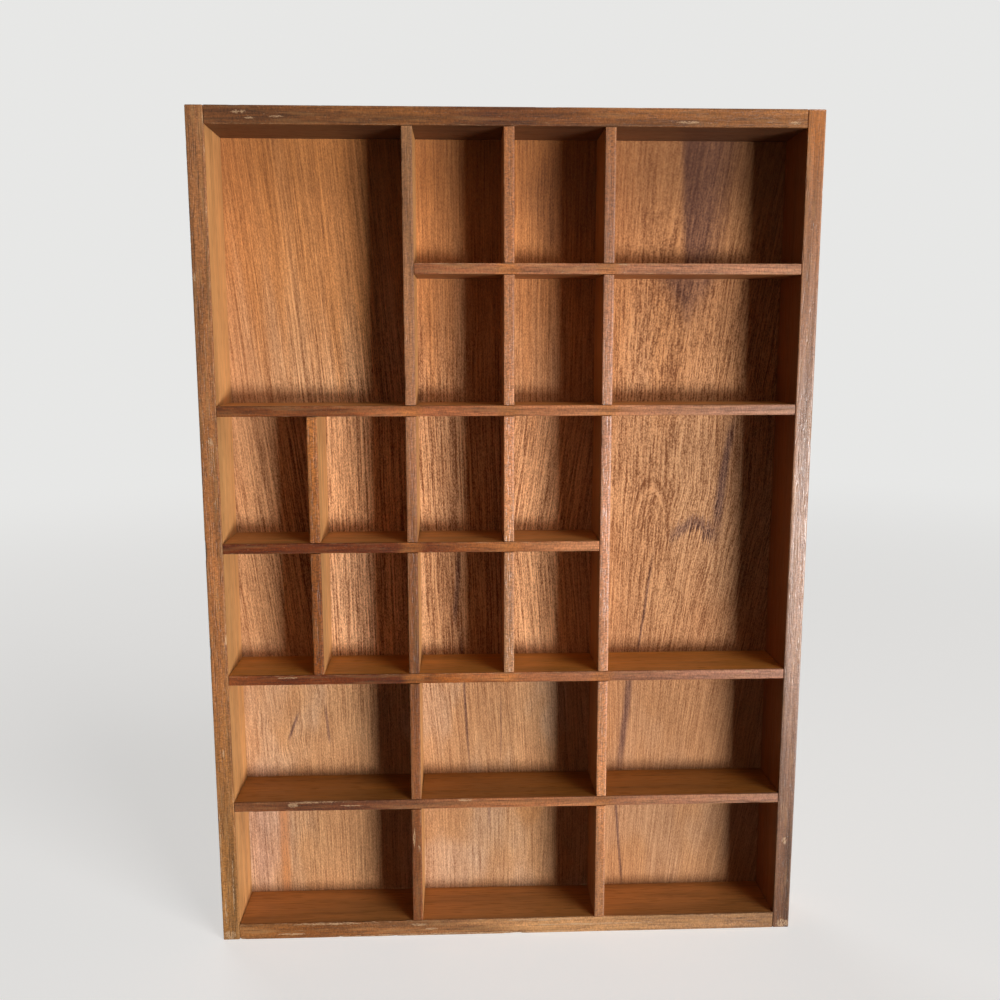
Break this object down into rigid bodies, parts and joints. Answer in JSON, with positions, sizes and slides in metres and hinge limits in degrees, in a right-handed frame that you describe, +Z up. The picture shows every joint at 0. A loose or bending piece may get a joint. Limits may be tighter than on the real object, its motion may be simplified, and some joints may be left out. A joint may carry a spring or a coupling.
{
  "type": "compartment display case",
  "caption": "Shallow upright teak display case, open at the front, with an egg-crate lattice of halved dividers forming square, tall and wide compartments over a pinned plywood back.",
  "frame": {"origin": "middle of the base, on the surface that the case stands on; front to back, halfway between the front edges and the backs of the hangers", "axes": "+Z up the height, the open front faces -Y, +X to the right as one looks into the front"},
  "size_m": [0.35, 0.0436, 0.488],
  "materials": {
    "frame_teak": "oiled teak, worn along its edges",
    "upright_teak": "oiled teak, pinkish brown on its front edges",
    "shelf_teak": "oiled teak, darker reddish brown",
    "panel_veneer": "golden brown teak veneer on plywood, grain upright",
    "nail_steel": "dull dark steel",
    "hanger_brass": "brass-plated, slightly tarnished"
  },
  "bodies": {
    "root": {"left_stile": "frame_teak", "right_stile": "frame_teak", "top_rail": "frame_teak", "bottom_rail": "frame_teak", "back_panel": "panel_veneer", "upright_1": "upright_teak", "upright_2": "upright_teak", "upright_3": "upright_teak", "upright_4": "upright_teak", "shelf_1": "shelf_teak", "shelf_2": "shelf_teak", "shelf_3": "shelf_teak", "shelf_4": "shelf_teak", "shelf_5": "shelf_teak", "corner_brad_1": "nail_steel", "corner_brad_2": "nail_steel", "corner_brad_3": "nail_steel", "corner_brad_4": "nail_steel", "corner_brad_5": "nail_steel", "corner_brad_6": "nail_steel", "corner_brad_7": "nail_steel", "corner_brad_8": "nail_steel", "panel_pin_1": "nail_steel", "panel_pin_2": "nail_steel", "panel_pin_3": "nail_steel", "panel_pin_4": "nail_steel", "panel_pin_5": "nail_steel", "panel_pin_6": "nail_steel", "panel_pin_7": "nail_steel", "panel_pin_8": "nail_steel", "panel_pin_9": "nail_steel", "panel_pin_10": "nail_steel", "panel_pin_11": "nail_steel", "panel_pin_12": "nail_steel", "panel_pin_13": "nail_steel", "panel_pin_14": "nail_steel", "panel_pin_15": "nail_steel", "panel_pin_16": "nail_steel", "left_hanger": "hanger_brass", "right_hanger": "hanger_brass", "hanger_nail_1": "nail_steel", "hanger_nail_2": "nail_steel", "hanger_nail_3": "nail_steel", "hanger_nail_4": "nail_steel"}
  },
  "joints": []
}
